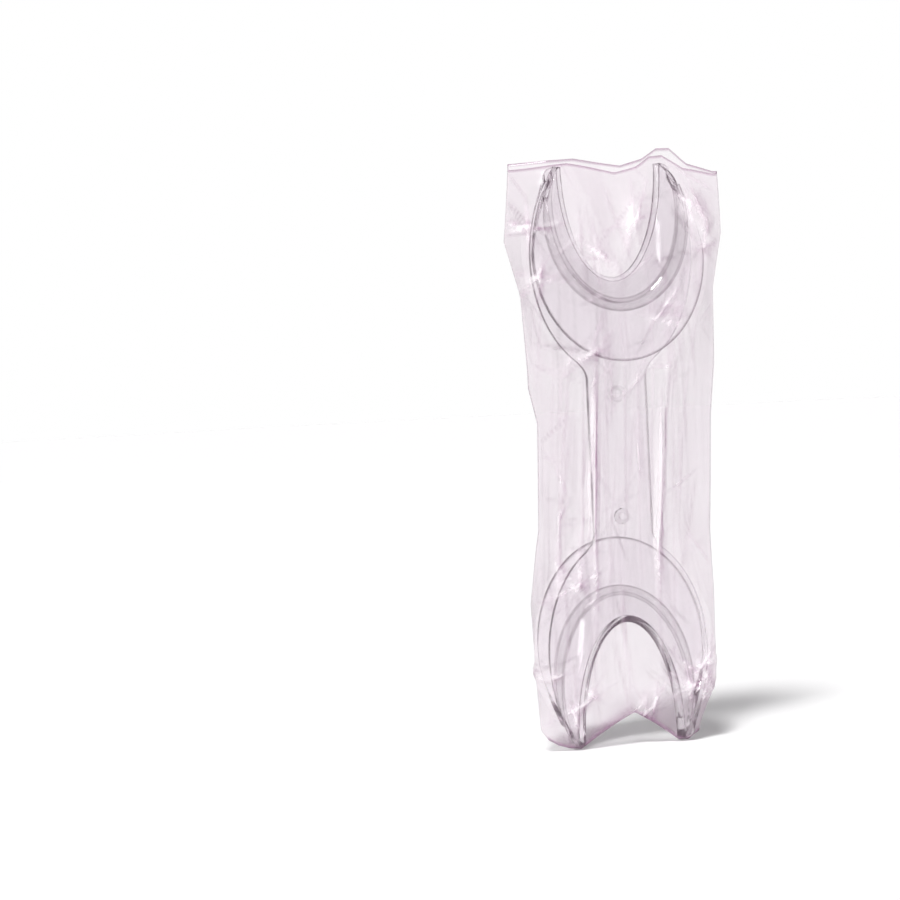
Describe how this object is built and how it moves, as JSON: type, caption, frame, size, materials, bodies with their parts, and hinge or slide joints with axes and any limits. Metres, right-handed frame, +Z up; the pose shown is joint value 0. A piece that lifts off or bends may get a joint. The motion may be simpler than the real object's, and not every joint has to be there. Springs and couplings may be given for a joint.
{
  "type": "cheek retractor",
  "caption": "Clear double-ended cheek retractor with a flared lip groove at each end, standing in its open film bag.",
  "frame": {"origin": "middle of the bag's base, on the surface it stands on", "axes": "+Z up along the handle, +X across it, -Y the front, towards which the upper end's groove sheet flares"},
  "size_m": [0.058, 0.029, 0.163],
  "materials": {
    "clear_moulding": "clear, polished as moulded",
    "clear_film": "clear thin film, glossy and creased"
  },
  "bodies": {
    "bag": {"film_bag": "clear_film"},
    "retractor": {"retractor": "clear_moulding"}
  },
  "joints": [
    {"name": "retractor_slide", "type": "slide", "parent": "bag", "child": "retractor", "axis": [0, 0, 1], "range_m": [0, 0.165]}
  ]
}
